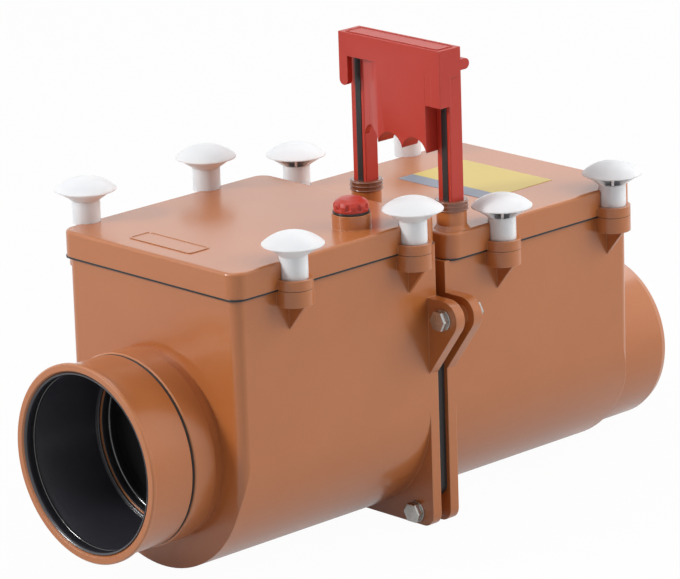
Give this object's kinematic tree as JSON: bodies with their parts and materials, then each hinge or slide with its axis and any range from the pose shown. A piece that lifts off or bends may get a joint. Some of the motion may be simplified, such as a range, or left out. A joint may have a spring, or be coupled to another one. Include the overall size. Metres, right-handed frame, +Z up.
{
  "type": "backwater valve",
  "caption": "Drain backwater valve in two bolted plastic chambers with swing flaps, lift-off lids on quarter-turn fasteners, a push-down lock handle, an inlet socket and an outlet spigot.",
  "frame": {"origin": "on the standing plane, in the middle of the joint between the two chambers", "axes": "+X along the flow from the inlet socket to the outlet spigot, +Z up"},
  "size_m": [0.672, 0.296, 0.443],
  "materials": {
    "orange_plastic": "moulded, satin gloss",
    "red_plastic": "moulded, satin gloss",
    "white_plastic": "moulded, slightly translucent",
    "black_rubber": "smooth rubber",
    "black_plastic": "moulded, matt",
    "grey_plastic": "moulded, matt",
    "zinc_steel": "zinc plated",
    "stainless_steel": "drawn bar"
  },
  "bodies": {
    "root": {"inlet_chamber": "orange_plastic", "outlet_chamber": "orange_plastic", "inlet_socket": "orange_plastic", "inlet_socket_lining": "black_rubber", "outlet_spigot": "orange_plastic", "seat_plate": "black_plastic", "inlet_flange_gasket": "black_rubber", "outlet_flange_gasket": "black_rubber", "flange_bolts": "zinc_steel", "flange_washers": "zinc_steel", "flange_nuts": "zinc_steel", "inlet_flap_seat": "black_plastic", "inlet_flap_pin": "stainless_steel", "outlet_flap_pin": "stainless_steel"},
    "inlet_flap": {"inlet_flap": "grey_plastic", "inlet_flap_facing": "black_rubber"},
    "outlet_flap": {"outlet_flap": "grey_plastic", "outlet_flap_facing": "black_rubber"},
    "inlet_lid": {"inlet_lid": "orange_plastic", "inlet_lid_gasket": "black_rubber"},
    "outlet_lid": {"outlet_lid": "orange_plastic", "outlet_lid_gasket": "black_rubber", "gland_caps": "orange_plastic", "wiper_seals": "black_rubber"},
    "lock": {"lock_handle": "red_plastic", "lock_rear_leg": "red_plastic", "lock_front_leg": "red_plastic", "lock_leg_strips": "black_rubber"},
    "test_plug": {"test_plug": "red_plastic", "test_plug_seal": "black_rubber"},
    "inlet_fastener_1": {"inlet_fastener_1": "white_plastic"},
    "inlet_fastener_2": {"inlet_fastener_2": "white_plastic"},
    "inlet_fastener_3": {"inlet_fastener_3": "white_plastic"},
    "inlet_fastener_4": {"inlet_fastener_4": "white_plastic"},
    "outlet_fastener_1": {"outlet_fastener_1": "white_plastic"},
    "outlet_fastener_2": {"outlet_fastener_2": "white_plastic"},
    "outlet_fastener_3": {"outlet_fastener_3": "white_plastic"},
    "outlet_fastener_4": {"outlet_fastener_4": "white_plastic"}
  },
  "joints": [
    {"name": "inlet_lid_lift", "type": "slide", "parent": "root", "child": "inlet_lid", "axis": [0, 0, 1], "range_m": [0, 0.12]},
    {"name": "outlet_lid_lift", "type": "slide", "parent": "root", "child": "outlet_lid", "axis": [0, 0, 1], "range_m": [0, 0.12]},
    {"name": "lock_push", "type": "slide", "parent": "outlet_lid", "child": "lock", "axis": [0, 0, 1], "range_m": [-0.045, 0]},
    {"name": "inlet_flap_swing", "type": "hinge", "parent": "root", "child": "inlet_flap", "pos_m": [-0.2272, 0, 0.2163], "axis": [0, -1, 0], "range_deg": [0, 65]},
    {"name": "outlet_flap_swing", "type": "hinge", "parent": "root", "child": "outlet_flap", "pos_m": [0.0153, 0, 0.189], "axis": [0, -1, 0], "range_deg": [0, 65]},
    {"name": "test_plug_turn", "type": "hinge", "parent": "inlet_lid", "child": "test_plug", "pos_m": [-0.078, -0.08, 0.308], "axis": [0, 0, 1], "continuous": true},
    {"name": "inlet_fastener_1_turn", "type": "hinge", "parent": "inlet_lid", "child": "inlet_fastener_1", "pos_m": [-0.186, -0.1185, 0.295], "axis": [0, 0, 1], "range_deg": [0, 90]},
    {"name": "inlet_fastener_2_turn", "type": "hinge", "parent": "inlet_lid", "child": "inlet_fastener_2", "pos_m": [-0.039, -0.1185, 0.295], "axis": [0, 0, 1], "range_deg": [0, 90]},
    {"name": "inlet_fastener_3_push", "type": "slide", "parent": "inlet_lid", "child": "inlet_fastener_3", "axis": [0, 0, 1], "range_m": [-0.015, 0]},
    {"name": "inlet_fastener_4_push", "type": "slide", "parent": "inlet_lid", "child": "inlet_fastener_4", "axis": [0, 0, 1], "range_m": [-0.015, 0]},
    {"name": "outlet_fastener_1_turn", "type": "hinge", "parent": "outlet_lid", "child": "outlet_fastener_1", "pos_m": [0.0745, -0.1185, 0.274], "axis": [0, 0, 1], "range_deg": [0, 90]},
    {"name": "outlet_fastener_2_turn", "type": "hinge", "parent": "outlet_lid", "child": "outlet_fastener_2", "pos_m": [0.2215, -0.1185, 0.274], "axis": [0, 0, 1], "range_deg": [0, 90]},
    {"name": "outlet_fastener_3_push", "type": "slide", "parent": "outlet_lid", "child": "outlet_fastener_3", "axis": [0, 0, 1], "range_m": [-0.015, 0]},
    {"name": "outlet_fastener_4_push", "type": "slide", "parent": "outlet_lid", "child": "outlet_fastener_4", "axis": [0, 0, 1], "range_m": [-0.015, 0]}
  ]
}
